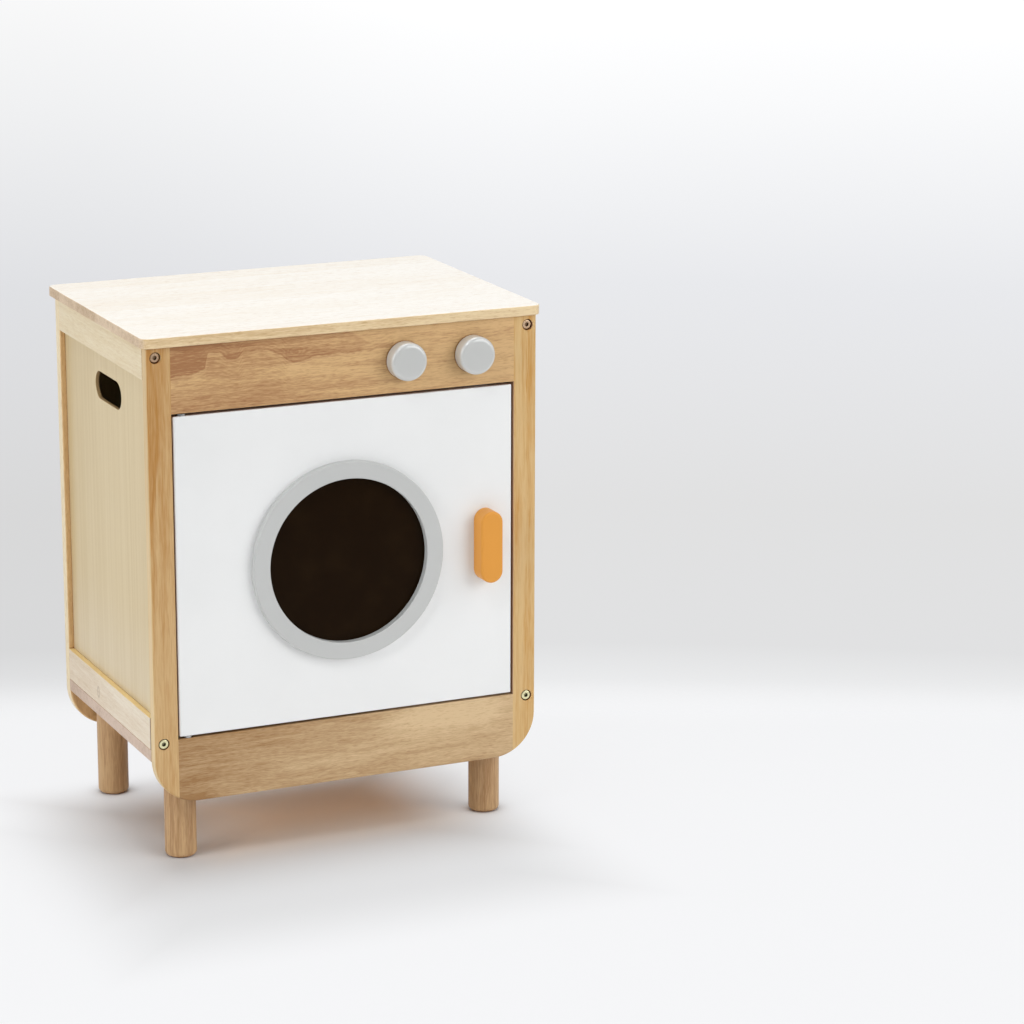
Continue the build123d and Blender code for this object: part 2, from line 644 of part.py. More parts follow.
def leg_points():
    """Middle of each leg in the floor plan, by name."""
    front_y = FRONT_Y + FRONT_LEG_INSET
    rear_y = REAR_Y - REAR_LEG_INSET
    leg_x = HALF_WIDTH - SIDE_LEG_INSET
    return {
        f"{end}_{name}": (side * leg_x, y)
        for end, y in (("front", front_y), ("rear", rear_y))
        for name, side in SIDES.items()
    }


def make_legs():
    """Four round legs with their hanger bolts and tee nuts."""
    bolts = []
    tee_nuts = []
    for name, (x, y) in leg_points().items():
        leg = rod((x, y, 0), UPWARDS, LEG_RADIUS, LEG_LENGTH)
        leg = fillet(end_circle(leg, (x, y, 0)), LEG_FOOT_ROUND)
        leg_top = (x, y, LEG_LENGTH)
        bolt_radius = HANGER_BOLT_RADIUS + GLUE_GAP
        leg -= rod(leg_top, DOWNWARDS, bolt_radius, HANGER_BOLT_IN_LEG + HOLE_END_GAP)
        nodes[f"{name}_leg"] = leg
        bolt_start = along(leg_top, DOWNWARDS, HANGER_BOLT_IN_LEG)
        bolts.append(rod(bolt_start, UPWARDS, HANGER_BOLT_RADIUS, HANGER_BOLT_IN_LEG + BASE_THICKNESS))
        seat = (x, y, SIDE_BOTTOM_Z)
        flange = rod(seat, UPWARDS, TEE_NUT_FLANGE_RADIUS, TEE_NUT_FLANGE_THICKNESS)
        barrel = rod(seat, DOWNWARDS, TEE_NUT_BARREL_RADIUS, TEE_NUT_BARREL_LENGTH)
        thread = rod(
            along(seat, DOWNWARDS, TEE_NUT_BARREL_LENGTH),
            UPWARDS,
            bolt_radius,
            TEE_NUT_BARREL_LENGTH + TEE_NUT_FLANGE_THICKNESS,
        )
        tee_nuts.append(flange + barrel - thread)
    nodes["leg_hanger_bolts"] = bolts
    nodes["leg_tee_nuts"] = tee_nuts


# ---------------------------------------------------------------------------
# Door with its window, handle, hinge and catch
# ---------------------------------------------------------------------------


def make_hinge():
    """Steel pins in the front frame and the washers in the gaps above and below the door."""
    lower_start = (HINGE_X, HINGE_Y, OPENING_BOTTOM_Z - HINGE_PIN_IN_FRAME)
    lower_length = HINGE_PIN_IN_FRAME + DOOR_GAP_BOTTOM + HINGE_PIN_IN_DOOR
    upper_start = (HINGE_X, HINGE_Y, DOOR_TOP_Z - HINGE_PIN_IN_DOOR)
    upper_length = HINGE_PIN_IN_DOOR + DOOR_GAP_TOP + HINGE_PIN_IN_FRAME
    nodes["hinge_pins"] = [
        rod(lower_start, UPWARDS, HINGE_PIN_RADIUS, lower_length),
        rod(upper_start, UPWARDS, HINGE_PIN_RADIUS, upper_length),
    ]
    seat_radius = HINGE_PIN_RADIUS + GLUE_GAP
    nodes["front_bottom_rail"] -= rod(
        (HINGE_X, HINGE_Y, OPENING_BOTTOM_Z), DOWNWARDS, seat_radius, HINGE_PIN_IN_FRAME + GLUE_GAP
    )
    nodes["control_panel"] -= rod(
        (HINGE_X, HINGE_Y, OPENING_TOP_Z), UPWARDS, seat_radius, HINGE_PIN_IN_FRAME + GLUE_GAP
    )
    washer_hole = HINGE_PIN_RADIUS + BOLT_GAP
    for name, z in (("lower_hinge_washer", OPENING_BOTTOM_Z), ("upper_hinge_washer", DOOR_TOP_Z)):
        start = (HINGE_X, HINGE_Y, z)
        nodes[name] = washer(start, UPWARDS, HINGE_WASHER_RADIUS, washer_hole, HINGE_WASHER_THICKNESS)


def ring_screw_points():
    """Heads of the ring's screws, on the door's back, midway between the pane and the ring's edge."""
    radius = (PANE_RADIUS + RING_RADIUS) / 2
    spots = PolarLocations(radius, RING_SCREWS, start_angle=180 / RING_SCREWS)
    return [
        (DOOR_MIDDLE_X + spot.position.X, DOOR_BACK_Y, DOOR_MIDDLE_Z + spot.position.Y) for spot in spots
    ]


def handle_screw_points():
    """Heads of the handle's screws, on the door's back."""
    half = HANDLE_SCREW_SPACING / 2
    return [(HANDLE_X, DOOR_BACK_Y, DOOR_MIDDLE_Z + dz) for dz in (-half, half)]


def make_door_panel():
    """Door panel with its window hole, pane rebate, hinge holes and screw holes."""
    panel = block((DOOR_LEFT_X, DOOR_RIGHT_X), (FRONT_Y, DOOR_BACK_Y), (DOOR_BOTTOM_Z, DOOR_TOP_Z))
    hinge_edge = panel.faces().sort_by(Axis.Y)[0].edges().sort_by(Axis.X)[0]
    panel = fillet(hinge_edge, HINGE_EDGE_ROUND)
    front_border = face_edges(panel, Axis.Y, 0).sort_by(Axis.X)[1:]
    panel = fillet(front_border, DOOR_EDGE_ROUND)
    centre = (DOOR_MIDDLE_X, FRONT_Y, DOOR_MIDDLE_Z)
    panel -= rod(centre, TOWARDS_BACK, WINDOW_RADIUS, FRAME_THICKNESS)
    panel -= rod(centre, TOWARDS_BACK, PANE_RADIUS + PANEL_GAP, PANE_THICKNESS + PANEL_GAP)
    pin_hole = HINGE_PIN_RADIUS + RUNNING_GAP
    pin_depth = HINGE_PIN_IN_DOOR + HOLE_END_GAP
    panel -= rod((HINGE_X, HINGE_Y, DOOR_BOTTOM_Z), UPWARDS, pin_hole, pin_depth)
    panel -= rod((HINGE_X, HINGE_Y, DOOR_TOP_Z), DOWNWARDS, pin_hole, pin_depth)
    for point in ring_screw_points():
        panel -= countersunk_hole(point, TOWARDS_FRONT, RING_SCREW)
    for point in handle_screw_points():
        panel -= plain_hole(point, TOWARDS_FRONT, HANDLE_SCREW)
    strike = (STRIKE_X, DOOR_BACK_Y, DOOR_MIDDLE_Z)
    panel -= rod(strike, TOWARDS_FRONT, STRIKE_RADIUS + GLUE_GAP, STRIKE_THICKNESS)
    panel -= rod(strike, TOWARDS_FRONT, STRIKE_PIN_RADIUS + GLUE_GAP, STRIKE_PIN_LENGTH + GLUE_GAP)
    nodes["door_panel"] = panel


def make_window():
    """Smoked pane, the ring over its edge and the ring's screws."""
    centre = (DOOR_MIDDLE_X, FRONT_Y, DOOR_MIDDLE_Z)
    nodes["window_pane"] = rod(centre, TOWARDS_BACK, PANE_RADIUS, PANE_THICKNESS)
    ring = washer(centre, TOWARDS_FRONT, RING_RADIUS, WINDOW_RADIUS, RING_THICKNESS)
    front_circles = ring.edges().filter_by(GeomType.CIRCLE).group_by(Axis.Y)[0].sort_by(SortBy.LENGTH)
    ring = fillet(front_circles[-1], RING_OUTER_ROUND)
    front_circles = ring.edges().filter_by(GeomType.CIRCLE).group_by(Axis.Y)[0].sort_by(SortBy.LENGTH)
    ring = fillet(front_circles[0], RING_INNER_ROUND)
    for point in ring_screw_points():
        ring -= countersunk_hole(point, TOWARDS_FRONT, RING_SCREW)
    nodes["window_ring"] = ring
    nodes["window_ring_screws"] = [
        countersunk_screw(point, TOWARDS_FRONT, RING_SCREW) for point in ring_screw_points()
    ]


def make_handle():
    """Upright handle block with round ends, and its two screws."""
    foot = Plane(origin=(HANDLE_X, FRONT_Y, DOOR_MIDDLE_Z), x_dir=UPWARDS, z_dir=TOWARDS_FRONT)
    handle = extrude(foot * SlotOverall(HANDLE_HEIGHT, HANDLE_WIDTH), HANDLE_DEPTH)
    handle = fillet(face_edges(handle, Axis.Y, 0), HANDLE_EDGE_ROUND)
    for point in handle_screw_points():
        handle -= plain_hole(point, TOWARDS_FRONT, HANDLE_SCREW)
    nodes["door_handle"] = handle
    nodes["door_handle_screws"] = [
        pan_screw(point, TOWARDS_FRONT, HANDLE_SCREW) for point in handle_screw_points()
    ]


def make_catch():
    """Stop block with its magnet and screws on the right stile, and the steel disc in the door."""
    inner_x = OPENING_HALF_WIDTH - STOP_BLOCK_OVERLAP
    outer_x = OPENING_HALF_WIDTH + STOP_BLOCK_ON_STILE
    half_height = STOP_BLOCK_HEIGHT / 2
    back_y = INNER_FRONT_Y + STOP_BLOCK_DEPTH
    stop = block(
        (inner_x, outer_x),
        (INNER_FRONT_Y, back_y),
        (DOOR_MIDDLE_Z - half_height, DOOR_MIDDLE_Z + half_height),
    )
    stop = fillet(face_edges(stop, Axis.Y, -1), STOP_BLOCK_EDGE_ROUND)
    magnet_face = (STRIKE_X, INNER_FRONT_Y, DOOR_MIDDLE_Z)
    stop -= rod(magnet_face, TOWARDS_BACK, MAGNET_RADIUS + GLUE_GAP, MAGNET_THICKNESS + GLUE_GAP)
    screws = []
    for dz in (-STOP_SCREW_SPACING / 2, STOP_SCREW_SPACING / 2):
        point = (OPENING_HALF_WIDTH + STOP_BLOCK_ON_STILE / 2, back_y, DOOR_MIDDLE_Z + dz)
        hole = countersunk_hole(point, TOWARDS_FRONT, STOP_SCREW)
        stop -= hole
        nodes["front_right_stile"] -= hole
        screws.append(countersunk_screw(point, TOWARDS_FRONT, STOP_SCREW))
    nodes["door_stop_block"] = stop
    nodes["stop_block_screws"] = screws
    nodes["catch_magnet"] = rod(magnet_face, TOWARDS_BACK, MAGNET_RADIUS, MAGNET_THICKNESS)
    strike = (STRIKE_X, DOOR_BACK_Y, DOOR_MIDDLE_Z)
    disc = rod(strike, TOWARDS_FRONT, STRIKE_RADIUS, STRIKE_THICKNESS)
    nodes["strike_disc"] = disc + rod(strike, TOWARDS_FRONT, STRIKE_PIN_RADIUS, STRIKE_PIN_LENGTH)


# ---------------------------------------------------------------------------
# Knobs
# ---------------------------------------------------------------------------


def make_knob(name, x):
    """One turned knob, the screw that it turns with and the hole in the control panel."""
    panel_point = (x, FRONT_Y, KNOB_Z)
    back_point = along(panel_point, TOWARDS_FRONT, KNOB_BACK_GAP)
    knob = rod(back_point, TOWARDS_FRONT, KNOB_RADIUS, KNOB_THICKNESS)
    knob = fillet(end_circle(knob, along(back_point, TOWARDS_FRONT, KNOB_THICKNESS)), KNOB_FRONT_ROUND)
    knob = fillet(end_circle(knob, back_point), KNOB_BACK_ROUND)
    knob -= rod(back_point, TOWARDS_FRONT, KNOB_SCREW_RADIUS + GLUE_GAP, KNOB_SCREW_IN_KNOB + HOLE_END_GAP)
    nodes[f"{name}_knob"] = knob
    nodes["control_panel"] -= rod(panel_point, TOWARDS_BACK, KNOB_SCREW_RADIUS + RUNNING_GAP, FRAME_THICKNESS)
    head_front_y = INNER_FRONT_Y + BACK_WASHER_THICKNESS + FACE_GAP
    tip_y = back_point[1] - KNOB_SCREW_IN_KNOB
    head = rod((x, head_front_y, KNOB_Z), TOWARDS_BACK, KNOB_SCREW_HEAD_RADIUS, KNOB_SCREW_HEAD_HEIGHT)
    head_back = along((x, head_front_y, KNOB_Z), TOWARDS_BACK, KNOB_SCREW_HEAD_HEIGHT)
    head = fillet(end_circle(head, head_back), HEAD_ROUND * KNOB_SCREW_HEAD_HEIGHT)
    shank = rod((x, tip_y, KNOB_Z), TOWARDS_BACK, KNOB_SCREW_RADIUS, head_front_y - tip_y)
    recess = drive_recess(head_back, TOWARDS_FRONT, KNOB_SCREW_HEAD_RADIUS, KNOB_SCREW_HEAD_HEIGHT)
    nodes[f"{name}_knob_screw"] = head + shank - recess


def make_knob_washers():
    """Felt washers in front of the control panel and steel washers behind it."""
    felt_hole = KNOB_SCREW_RADIUS + BOLT_GAP
    felt = []
    steel = []
    for x in KNOB_X.values():
        front = (x, FRONT_Y, KNOB_Z)
        back = (x, INNER_FRONT_Y, KNOB_Z)
        felt.append(washer(front, TOWARDS_FRONT, FELT_WASHER_RADIUS, felt_hole, FELT_WASHER_THICKNESS))
        steel.append(washer(back, TOWARDS_BACK, BACK_WASHER_RADIUS, felt_hole, BACK_WASHER_THICKNESS))
    nodes["knob_felt_washers"] = felt
    nodes["knob_back_washers"] = steel


# ---------------------------------------------------------------------------
# Assembly and export
# ---------------------------------------------------------------------------


def build():
    """Every piece, in the order in which one cuts the next."""
    make_worktop()
    make_frame("front", FRONT_Y, OPENING_TOP_Z, "control_panel")
    make_frame("rear", INNER_REAR_Y, REAR_OPENING_TOP_Z, "rear_top_rail")
    make_back_panel()
    for name, side in SIDES.items():
        make_side(name, side)
    make_base_board()
    make_joint_hardware()
    make_legs()
    make_hinge()
    make_door_panel()
    make_window()
    make_handle()
    make_catch()
    for name, x in KNOB_X.items():
        make_knob(name, x)
    make_knob_washers()


def export():
    """One STEP file per node."""
    os.makedirs("parts", exist_ok=True)
    for name, shape in nodes.items():
        solids = [one_solid(piece) for piece in shape] if isinstance(shape, list) else [one_solid(shape)]
        export_step(Compound(solids), f"parts/{name}.step")


build()
export()
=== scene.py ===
"""Looks, light and camera of the toy washing machine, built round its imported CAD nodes.

Metres, in the frame of the CAD part: +Z up, the front towards -Y, the origin on the floor.
"""

import math

import bpy
from mathutils import Matrix, Vector


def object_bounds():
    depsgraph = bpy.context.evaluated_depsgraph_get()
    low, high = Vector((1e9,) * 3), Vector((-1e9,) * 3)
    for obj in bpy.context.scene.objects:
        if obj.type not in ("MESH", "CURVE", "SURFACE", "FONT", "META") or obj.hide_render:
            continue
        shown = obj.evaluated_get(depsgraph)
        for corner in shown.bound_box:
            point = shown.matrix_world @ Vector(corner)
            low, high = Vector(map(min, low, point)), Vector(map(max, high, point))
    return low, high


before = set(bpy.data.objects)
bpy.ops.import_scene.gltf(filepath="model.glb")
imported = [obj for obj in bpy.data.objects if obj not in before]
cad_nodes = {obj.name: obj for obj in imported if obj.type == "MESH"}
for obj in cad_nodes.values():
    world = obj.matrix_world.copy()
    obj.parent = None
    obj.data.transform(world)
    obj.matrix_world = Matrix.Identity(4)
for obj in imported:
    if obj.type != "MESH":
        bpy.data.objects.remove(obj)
cad_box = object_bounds()

MM = 0.001

# Camera, as the photograph was taken: its place, where it looks and how far it zooms in.
CAMERA_PLACE = Vector((-1.2379, -3.2027, 1.2020))
CAMERA_YAW = math.radians(24.711)  # from +Y towards +X
CAMERA_PITCH = math.radians(-14.652)
CAMERA_ROLL = math.radians(0.157)
CAMERA_LENS = 124.91
CAMERA_SENSOR = 36.0

# Soft boxes: place, side and power.
LAMPS = {
    "top_box": ((0.1, 0.7, 3.4), 2.0, 47),
    "right_box": ((1.6, -1.9, 1.3), 2.2, 41),
    "left_box": ((-2.4, -0.5, 1.1), 1.6, 29),
    "front_box": ((-1.1, -1.3, 2.5), 0.6, 12),
}
LAMP_AIM = (0, 0, 0.25)  # about the middle of the cabinet
SKY_LIGHT = 0.22  # even light from all round

# Colours are linear: red, green, blue.
NEAR_WHITE = (0.950, 0.955, 0.970)  # the floor well in front of the cabinet

# Backdrop as the camera sees it, from the floor up: height of the line of sight and colour.
BACKDROP = (
    (-0.320, NEAR_WHITE),
    (-0.309, (0.900, 0.905, 0.915)),
    (-0.298, (0.760, 0.765, 0.772)),
    (-0.288, (0.690, 0.692, 0.698)),
    (-0.250, (0.690, 0.690, 0.693)),
    (-0.190, (0.745, 0.752, 0.775)),
    (-0.140, (0.875, 0.880, 0.890)),
    (-0.110, (0.945, 0.945, 0.948)),
)
BACKDROP_RIGHT = (0.28, 0.42, 1.0, 1.09)  # across the line of sight, its strength on the left and the right
ROOM = ((-0.7, (0.06, 0.06, 0.06)), (0.1, (0.90, 0.90, 0.91)))  # what is mirrored: dark front, bright back

FLOOR_WHITE = (0.92, 0.92, 0.925)
FLOOR_GREY = (0.66, 0.66, 0.665)  # the floor as it is seen, clear of the cabinet
FLOOR_SHADE = (0.90, 0.765, 0.625)  # painted warm shade: the same under the cabinet, tinted as its wood tints the light there
FLOOR_GLOW = (0.775, 0.778, 0.785)  # its own glowing white close to the cabinet's front, greyer as painted shade
FLOOR_LIFT = 0.86  # share of that glow in the floor, clear of the cabinet: painted light that lightens its shadow there
# Zones of the floor: middle, and from the cabinet's outline where the change starts and ends.
LIFT_ZONE = ((-0.045, -0.045), -0.10, 0.06)
WARM_SHADE_ZONE = ((0.015, -0.035), -0.17, -0.01)
GLOW_SHADE_ZONE = ((-0.05, -0.16), -0.06, 0.10)
CONTACT_SHADE_REACH = 25 * MM  # how far the painted contact shadow at the foot of each leg reaches over the floor
FLOOR_REACH = (1.0, 2.4)  # from the middle, where the floor starts and ends its fade
FLOOR_BEHIND = (0.24, 0.44)  # the same behind the object, along the line of sight
FLOOR_RADIUS = 2.6
FLOOR_CORNERS = 96

# Paint, metal, pane and felt. A pair is the clean colour and what dulls it.
DOOR_WHITE = (0.84, 0.85, 0.85)
GAP_SHADE_BROWN = (0.40, 0.20, 0.12)  # painted shade in the gaps round the door, brown like the wood that lights them back
SOFT_GREY = (0.54, 0.55, 0.543)
KNOB_GREY = (0.565, 0.575, 0.565)
ORANGE = (0.75, 0.325, 0.05)
SMOKE = ((0.013, 0.006, 0.002), (0.018, 0.009, 0.003))
# a darker copy of the yellow zinc: painted shade on the same bolts where they sit shaded
BOLT_SHADE_BRONZE = ((0.82, 0.59, 0.39), (0.56, 0.37, 0.23))
YELLOW_ZINC = ((0.88, 0.84, 0.52), (0.74, 0.69, 0.42))
ZINC = ((0.55, 0.55, 0.55), (0.35, 0.35, 0.35))
WOOL = ((0.30, 0.29, 0.28), (0.45, 0.44, 0.42))

# Tones of the boards, pale and deep, and of faces that are cut another way or painted paler or darker for the
# light or shade on them.
GOLDEN = ((0.80, 0.63, 0.385), (0.58, 0.38, 0.18))
# upper face of the worktop, painted paler for the strong light from above
WORKTOP_LIT_FACE = ((0.94, 0.91, 0.85), (0.88, 0.81, 0.70))
WORKTOP_END = ((0.70, 0.55, 0.39), (0.44, 0.30, 0.17))
PANEL = ((0.66, 0.430, 0.203), (0.365, 0.172, 0.070))
LEFT_STILE = ((0.615, 0.412, 0.195), (0.450, 0.215, 0.050))
RIGHT_STILE = ((0.655, 0.448, 0.205), (0.550, 0.285, 0.070))
# flanks of the front stiles, painted paler for the light from the left
STILE_LIT_FLANK = ((0.71, 0.545, 0.305), (0.60, 0.43, 0.22))
# inner flank of the right stile, painted darker as shade in the door's gap
GAP_SHADE_FLANK = ((0.55, 0.34, 0.21), (0.46, 0.26, 0.15))
FRONT_RAIL = ((0.675, 0.495, 0.285), (0.34, 0.182, 0.068))
REAR_STILE = ((0.71, 0.48, 0.24), (0.52, 0.31, 0.13))
# flanks of the rear stiles, painted paler for the light from the left
REAR_LIT_FLANK = ((0.82, 0.70, 0.48), (0.72, 0.58, 0.36))
REAR_RAIL = ((0.64, 0.43, 0.21), (0.45, 0.26, 0.11))
SIDE_TOP_RAIL = ((0.78, 0.68, 0.485), (0.67, 0.535, 0.325))
SIDE_BOTTOM_RAIL = ((0.775, 0.69, 0.56), (0.58, 0.44, 0.285))
# upper face of the side rails' ledge, painted paler and yellower for the light that falls on it
SIDE_LIT_LEDGE = ((0.90, 0.70, 0.33), (0.72, 0.50, 0.20))
BASE_EDGE = ((0.62, 0.48, 0.385), (0.43, 0.30, 0.21))
BASE_FACE = ((0.66, 0.38, 0.17), (0.52, 0.27, 0.11))
LEG = ((0.56, 0.365, 0.185), (0.33, 0.170, 0.070))
PLY = ((0.64, 0.52, 0.31), (0.55, 0.425, 0.228))
PLY_FOOT = ((0.685, 0.59, 0.43), (0.60, 0.495, 0.33))  # the same near its lower end
PLY_FLECK = (0.45, 0.33, 0.17)
PLY_EDGE = (0.42, 0.28, 0.13)
# dark stain of the wood, and painted shade in the side rails' open joints
STAIN_AND_JOINT_SHADE = (0.22, 0.13, 0.07)
PORE_BROWN = (0.66, 0.53, 0.42)  # multiplies the wood in its pores
SEAM_SHADE_BROWN = (0.55, 0.36, 0.24)  # painted shade: multiplies the wood in its seams, corners and holes
SEAM_SHADE_REACH = 2.5 * MM

# Dark heart of the control panel: its lower and upper edge, as (x, z) from left to right in mm.
HEART_LOWER = (
    (-176, 485),
    (-156, 487),
    (-141, 492),
    (-138, 506),
    (-128, 505),
    (-110, 498),
    (-102, 505),
    (-66, 498),
    (-54, 490),
    (-44, 490),
    (-30, 494),
    (28, 494),
    (50, 501),
)
HEART_UPPER = ((-176, 519), (-4, 515), (15, 508), (32, 501), (50, 500))
PANEL_SPAN = (-176, 176)  # x and z between which both edges are drawn, in mm
PANEL_HEIGHTS = (480, 520)
HEART_LINES = 3.6 * MM  # from one growth line to the next
KNOT_PLACE = (-50 * MM, 0, 499 * MM)
KNOT_SHAPE = (0.62, 0, 1)  # stretched along the panel, and the same all the way through it
KNOT_LINES = 3.0 * MM
FLAME_X = -197.5 * MM  # streak of the left stile, clear of its bend
FLAME_BEND_Z = 440 * MM
JOINT_SHADE_Y = (-121.5, -120.1)  # painted shade of an open joint at the front end of a side's bottom rail, in mm
FLECK_PLACE = (-200 * MM, 36 * MM, 133 * MM)
FLECK_SHAPE = (0.02, 0.65, 0.46)
FLECK_RADIUS = 2.2 * MM

# How each board's grain is turned so that its fibres run along an axis.
GRAIN_TURN = {
    "X": (0, 0, 0),
    "Y": (0, 0, -math.pi / 2),
    "Z": (0, math.pi / 2, 0),
}
SEED_STEP = 0.37  # along the fibres, from the cut of one board to that of the next

# Sockets of the node that mixes two colours.
MIX_FACTOR, MIX_A, MIX_B, MIX_RESULT = 0, 6, 7, 2


# ---------------------------------------------------------------------------
# Nodes
# ---------------------------------------------------------------------------


class Nodes:
    """A node tree under construction, with short calls for the nodes that it needs."""

    def __init__(self, tree):
        self.tree = tree

    def feed(self, socket, value):
        """Gives a socket a link or a plain value; a colour is three numbers."""
        if isinstance(value, bpy.types.NodeSocket):
            self.tree.links.new(value, socket)
        elif socket.type == "RGBA":
            socket.default_value = (*value, 1)
        else:
            socket.default_value = value

    def node(self, kind, inputs=None, **settings):
        """A new node with its settings and inputs."""
        made = self.tree.nodes.new(f"ShaderNode{kind}")
        for key, value in settings.items():
            setattr(made, key, value)
        for key, value in (inputs or {}).items():
            self.feed(made.inputs[key], value)
        return made

    def place(self):
        """Position on the piece, in the CAD frame at rest."""
        return self.node("TexCoord").outputs["Object"]

    def turned(self, vector, shift, turn):
        """Position after a turn and a shift."""
        made = self.node("Mapping", {"Vector": vector, "Location": shift, "Rotation": turn})
        return made.outputs[0]

    def vector(self, operation, a, b=(0, 0, 0)):
        """Result of one sum on vectors."""
        return self.node("VectorMath", {0: a, 1: b}, operation=operation).outputs[0]

    def scaled(self, vector, factors):
        """Vector with each axis multiplied by its own factor."""
        return self.vector("MULTIPLY", vector, factors)

    def length(self, vector):
        """Length of a vector."""
        return self.node("VectorMath", {0: vector}, operation="LENGTH").outputs["Value"]

    def along(self, vector, axis):
        """One axis of a vector."""
        return self.node("SeparateXYZ", {0: vector}).outputs["XYZ".index(axis)]

    def maths(self, operation, a, b=0.0):
        """Result of one sum on numbers."""
        return self.node("Math", {0: a, 1: b}, operation=operation).outputs[0]

    def chain(self, operation, values):
        """Result of the same sum carried through several numbers."""
        result = values[0]
        for value in values[1:]:
            result = self.maths(operation, result, value)
        return result

    def total(self, *values):
        """Sum of several numbers."""
        return self.chain("ADD", values)

    def product(self, *values):
        """Product of several numbers."""
        return self.chain("MULTIPLY", values)

    def noise(self, vector, scale, detail=2.0, roughness=0.5):
        """Soft random value from 0 to 1; scale is how often it changes per metre, one number or per axis."""
        factors = scale if isinstance(scale, tuple) else (scale,) * 3
        at = self.scaled(vector, factors)
        inputs = {"Vector": at, "Scale": 1.0, "Detail": detail, "Roughness": roughness}
        return self.node("TexNoise", inputs).outputs[0]

    def ramp(self, value, start, end, low=0.0, high=1.0):
        """Smooth step from low to high between two values."""
        inputs = {"Value": value, "From Min": start, "From Max": end, "To Min": low, "To Max": high}
        return self.node("MapRange", inputs, interpolation_type="SMOOTHSTEP").outputs[0]

    def ramp_mm(self, length, start, end, low=0.0, high=1.0):
        """Smooth step from low to high between two lengths in mm."""
        return self.ramp(length, start * MM, end * MM, low, high)

    def mixed(self, factor, a, b, blend="MIX"):
        """Colour between a and b, or with blend MULTIPLY between a and its product with b."""
        inputs = {MIX_FACTOR: factor, MIX_A: a, MIX_B: b}
        return self.node("Mix", inputs, data_type="RGBA", blend_type=blend).outputs[MIX_RESULT]

    def curve(self, value, points, span, heights):
        """Height of a line through points over a position in mm, in metres."""
        inputs = {"Value": value, "From Min": span[0] * MM, "From Max": span[1] * MM}
        made = self.node("FloatCurve", {"Value": self.node("MapRange", inputs).outputs[0]})
        line = made.mapping.curves[0]
        for number, (x, z) in enumerate(points):
            spot = ((x - span[0]) / (span[1] - span[0]), (z - heights[0]) / (heights[1] - heights[0]))
            if number < 2:
                line.points[number].location = spot
            else:
                line.points.new(*spot)
        made.mapping.update()
        inputs = {"Value": made.outputs[0], "To Min": heights[0] * MM, "To Max": heights[1] * MM}
        return self.node("MapRange", inputs).outputs[0]

    def facing(self, side):
        """1 on faces across an axis, 0 on the others; with a sign the opposite side is left out."""
        slope = self.along(self.node("NewGeometry").outputs["Normal"], side[-1])
        if side[0] == "-":
            slope = self.product(slope, -1.0)
        elif side[0] != "+":
            slope = self.maths("ABSOLUTE", slope)
        return self.ramp(slope, 0.5, 0.9)

    def openness(self, distance):
        """1 on open faces, near 0 in narrow gaps and sockets."""
        return self.node("AmbientOcclusion", {"Distance": distance}, samples=8).outputs["AO"]

    def rays(self):
        """1 for what the camera sees itself, and 1 for what is mirrored or seen through something."""
        path = self.node("LightPath").outputs
        mirrored = self.maths("MAXIMUM", path["Is Glossy Ray"], path["Is Transmission Ray"])
        return path["Is Camera Ray"], mirrored

    def blended(self, share, one, other):
        """Shader between two shaders."""
        return self.node("MixShader", {0: share, 1: one, 2: other}).outputs[0]


class Shader(Nodes):
    """A node material with its surface shader."""

    def __init__(self, name):
        self.material = bpy.data.materials.new(name)
        self.material.use_nodes = True
        super().__init__(self.material.node_tree)
        self.surface = self.tree.nodes["Principled BSDF"]

    def bump(self, height, distance, strength):
        """Surface relief from a height of 0 to 1."""
        made = self.node("Bump", {"Height": height, "Distance": distance, "Strength": strength})
        self.feed(self.surface.inputs["Normal"], made.outputs[0])

    def set(self, **values):
        """Inputs of the surface shader, with _ for each space in their names."""
        for key, value in values.items():
            self.feed(self.surface.inputs[key.replace("_", " ")], value)


# ---------------------------------------------------------------------------
# Wood
# ---------------------------------------------------------------------------


